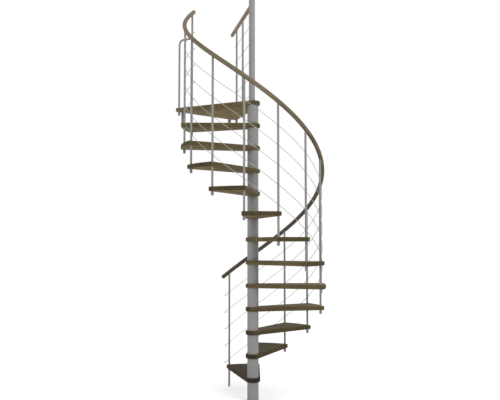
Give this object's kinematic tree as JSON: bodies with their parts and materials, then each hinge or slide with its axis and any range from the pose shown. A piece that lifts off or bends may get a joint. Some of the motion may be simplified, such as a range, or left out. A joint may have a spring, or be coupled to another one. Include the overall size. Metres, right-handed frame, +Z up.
{
  "type": "spiral staircase",
  "caption": "Clockwise spiral stair with wooden treads on a central steel column, a helical handrail and cable infill, ending at a landing.",
  "frame": {"origin": "centre of the column's floor plate, on the floor", "axes": "+Z up along the column; the flight starts at the back left (-X +Y) and climbs clockwise seen from above"},
  "size_m": [1.4915, 1.6361, 3.9085],
  "materials": {
    "tread_wood": "dark walnut stain, satin lacquer",
    "rail_wood": "grey-brown stain, satin lacquer",
    "grey_paint": "satin grey powder coat",
    "cable_steel": "stranded stainless steel",
    "zinc_steel": "zinc plated",
    "dark_plastic": "moulded cap"
  },
  "bodies": {
    "root": {"baluster_foot_caps": "grey_paint", "balusters": "grey_paint", "base_plate": "grey_paint", "cable_1": "cable_steel", "cable_2": "cable_steel", "cable_3": "cable_steel", "cable_4": "cable_steel", "cable_5": "cable_steel", "column_spacers": "grey_paint", "handrail_section_1": "rail_wood", "handrail_section_2": "rail_wood", "handrail_section_3": "rail_wood", "handrail_section_4": "rail_wood", "landing_balusters": "grey_paint", "landing_brackets": "zinc_steel", "landing_cables": "cable_steel", "landing_hoop": "grey_paint", "landing_platform": "tread_wood", "landing_rail": "rail_wood", "newel_post": "grey_paint", "post_cap": "grey_paint", "rail_end_caps": "dark_plastic", "tension_rod": "zinc_steel", "tread_01": "tread_wood", "tread_02": "tread_wood", "tread_03": "tread_wood", "tread_04": "tread_wood", "tread_05": "tread_wood", "tread_06": "tread_wood", "tread_07": "tread_wood", "tread_08": "tread_wood", "tread_09": "tread_wood", "tread_10": "tread_wood", "tread_11": "tread_wood", "tread_12": "tread_wood"}
  },
  "joints": []
}
